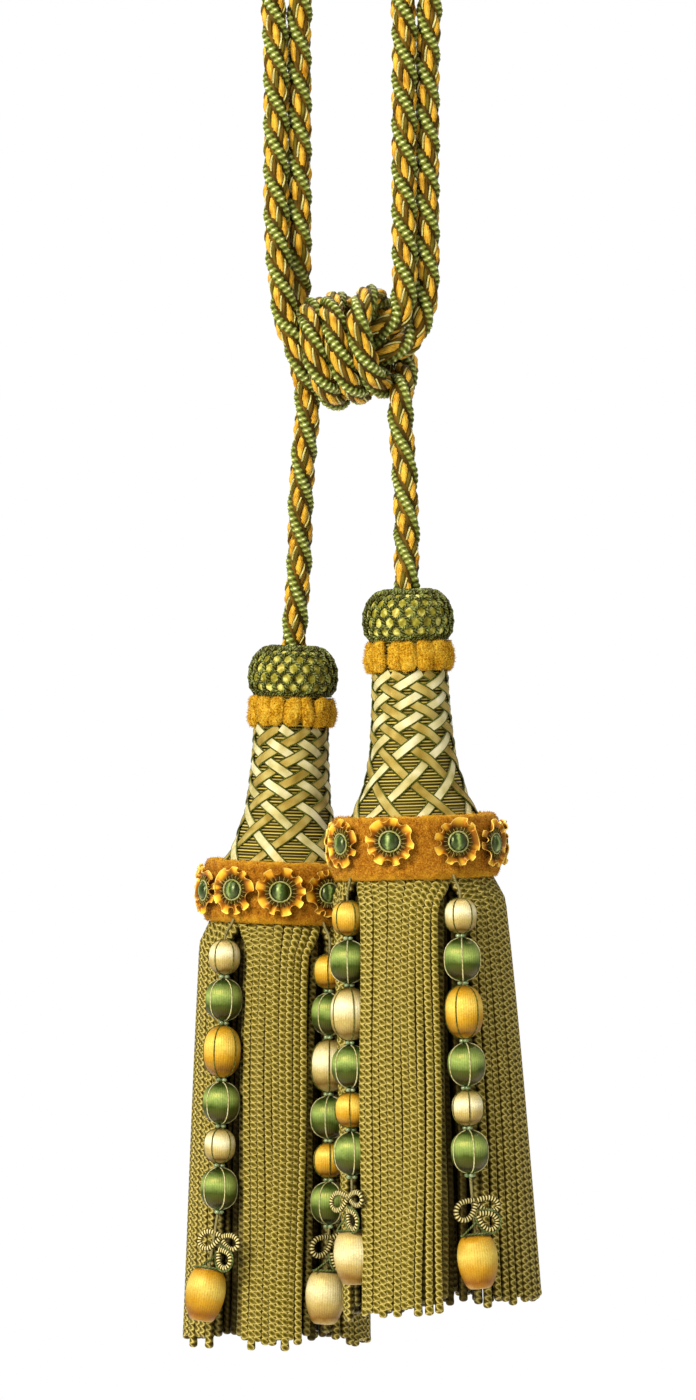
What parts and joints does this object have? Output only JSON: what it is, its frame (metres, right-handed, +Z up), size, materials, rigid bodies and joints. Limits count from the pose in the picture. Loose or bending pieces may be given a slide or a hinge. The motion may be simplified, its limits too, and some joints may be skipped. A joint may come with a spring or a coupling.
{
  "type": "curtain tieback tassel",
  "caption": "Curtain tieback of laid rope with a coiled knot and a key tassel on each end: netted cap, ribbon lattice neck, rosette collar, bullion skirt and bead hangers.",
  "frame": {"origin": "underside of the inner rope loop's top, where the hook carries it", "axes": "+Z up, front faces -Y, +X to the right seen from the front"},
  "size_m": [0.1417, 0.1396, 0.5814],
  "materials": {
    "rope": "laid green gimp and golden satin yarn",
    "cap": "dark green net over yellow-green satin",
    "ruff": "yellow chenille",
    "neck": "olive cord winding with cream and gold ribbon lattice",
    "collar": "orange chenille",
    "rosette": "ruffled gold braid round a green satin button",
    "skirt": "olive bullion cord",
    "beads": "satin-wrapped beads in green, gold and cream",
    "bow": "tan gimp cord",
    "drop": "satin-wrapped drop in gold or cream"
  },
  "bodies": {
    "root": {"rope": "rope", "right_cap": "cap", "right_ruff": "ruff", "right_neck": "neck", "right_collar": "collar", "right_skirt": "skirt", "right_rosette_1": "rosette", "right_rosette_2": "rosette", "right_rosette_3": "rosette", "right_rosette_4": "rosette", "right_rosette_5": "rosette", "right_rosette_6": "rosette", "right_rosette_7": "rosette", "right_rosette_8": "rosette", "right_hanger_1_beads": "beads", "right_hanger_1_bow": "bow", "right_hanger_1_drop": "drop", "right_hanger_2_beads": "beads", "right_hanger_2_bow": "bow", "right_hanger_2_drop": "drop", "right_hanger_3_beads": "beads", "right_hanger_3_bow": "bow", "right_hanger_3_drop": "drop", "right_hanger_4_beads": "beads", "right_hanger_4_bow": "bow", "right_hanger_4_drop": "drop", "left_cap": "cap", "left_ruff": "ruff", "left_neck": "neck", "left_collar": "collar", "left_skirt": "skirt", "left_rosette_1": "rosette", "left_rosette_2": "rosette", "left_rosette_3": "rosette", "left_rosette_4": "rosette", "left_rosette_5": "rosette", "left_rosette_6": "rosette", "left_rosette_7": "rosette", "left_rosette_8": "rosette", "left_rosette_9": "rosette", "left_hanger_1_beads": "beads", "left_hanger_1_bow": "bow", "left_hanger_1_drop": "drop", "left_hanger_2_beads": "beads", "left_hanger_2_bow": "bow", "left_hanger_2_drop": "drop", "left_hanger_3_beads": "beads", "left_hanger_3_bow": "bow", "left_hanger_3_drop": "drop", "left_hanger_4_beads": "beads", "left_hanger_4_bow": "bow", "left_hanger_4_drop": "drop"}
  },
  "joints": []
}
